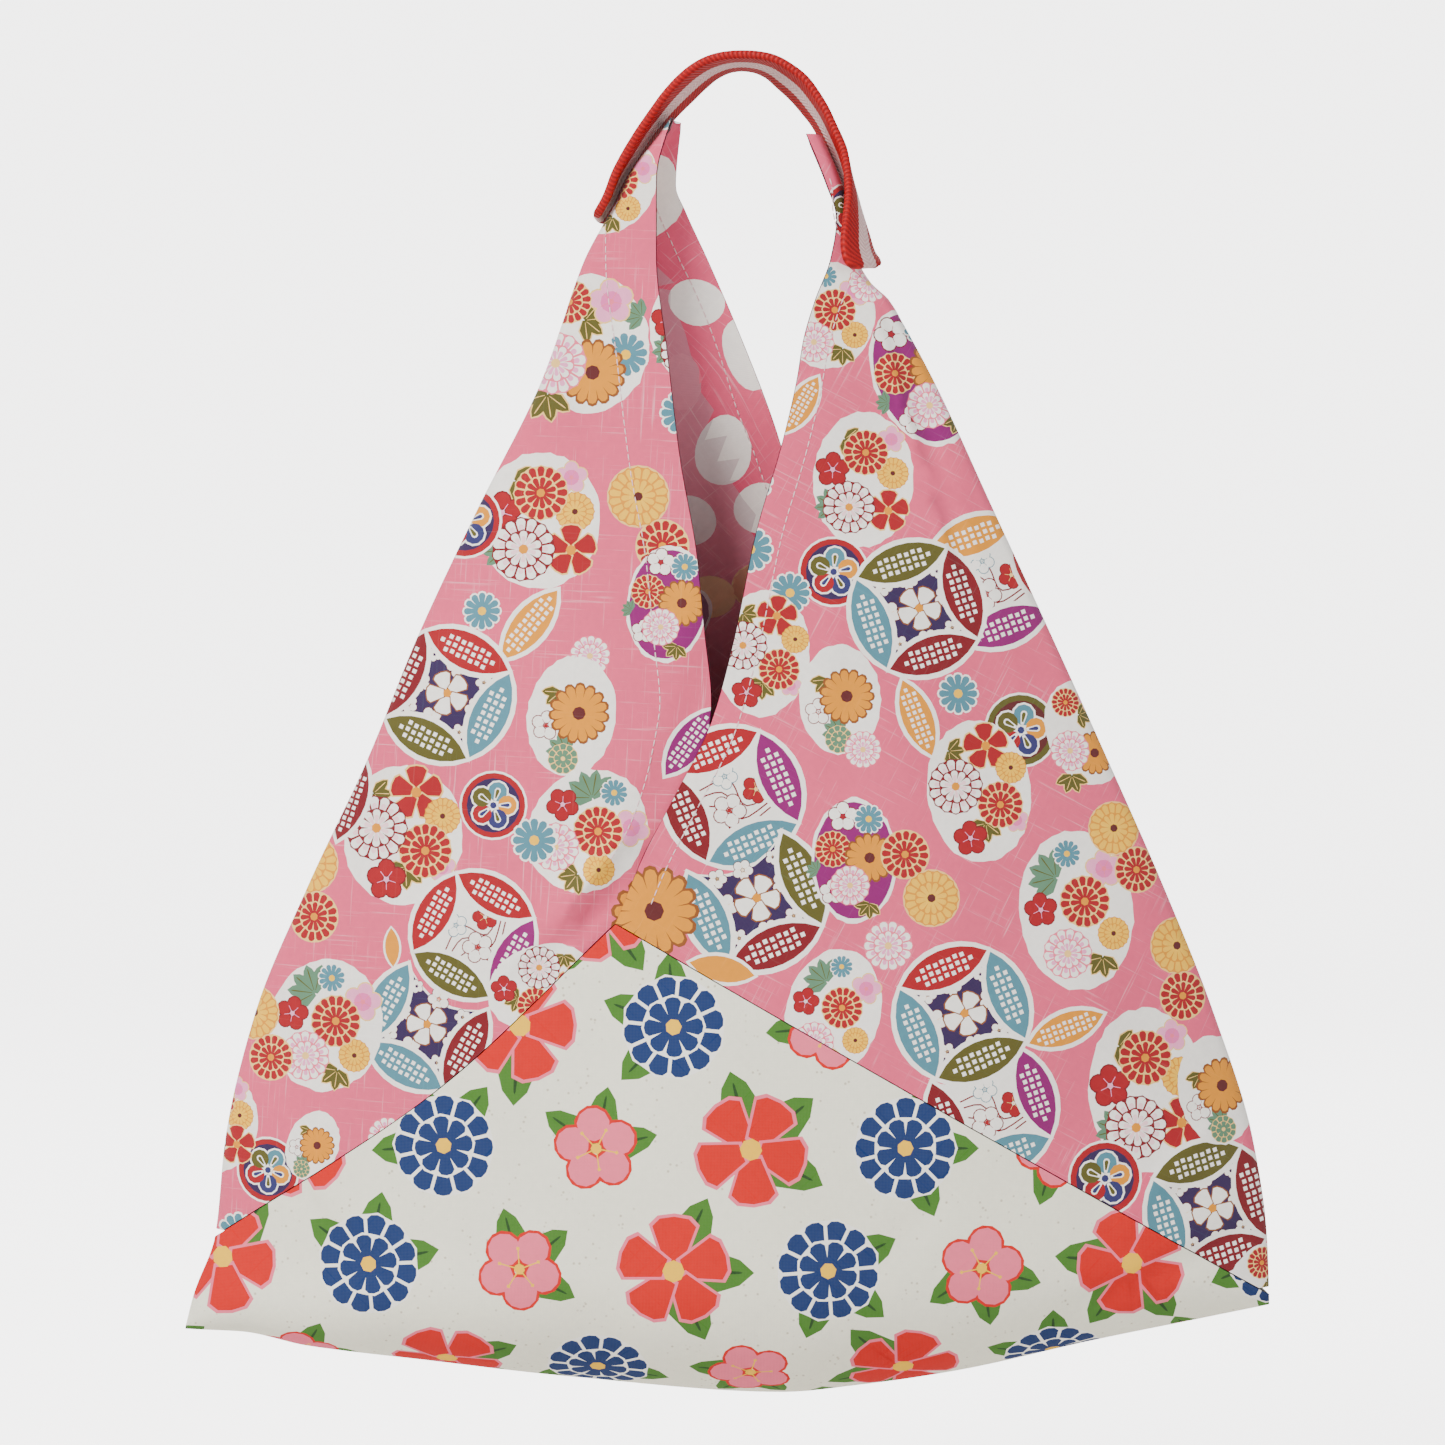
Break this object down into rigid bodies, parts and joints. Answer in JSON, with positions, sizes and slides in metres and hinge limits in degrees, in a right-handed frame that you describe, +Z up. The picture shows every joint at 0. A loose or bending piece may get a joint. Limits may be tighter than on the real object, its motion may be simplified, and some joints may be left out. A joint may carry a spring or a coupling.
{
  "type": "bento bag",
  "caption": "Triangular cloth bag with crossed pointed panels over a folded base cloth and a woven strap handle joining the tips.",
  "frame": {"origin": "underside of the top of the handle, where the bag hangs", "axes": "+Z up, the front faces -Y, +X to the right of a viewer in front"},
  "size_m": [0.4336, 0.1012, 0.5339],
  "materials": {
    "left_panel": "pink slub-weave cotton with a flower print",
    "right_panel": "pink slub-weave cotton with a flower print",
    "base_panel": "cream cotton canvas with a carp and lotus print",
    "handle_strap": "woven tape, red with a pale middle stripe"
  },
  "bodies": {
    "root": {"left_panel": "left_panel", "right_panel": "right_panel", "base_panel": "base_panel", "handle_strap": "handle_strap"}
  },
  "joints": []
}
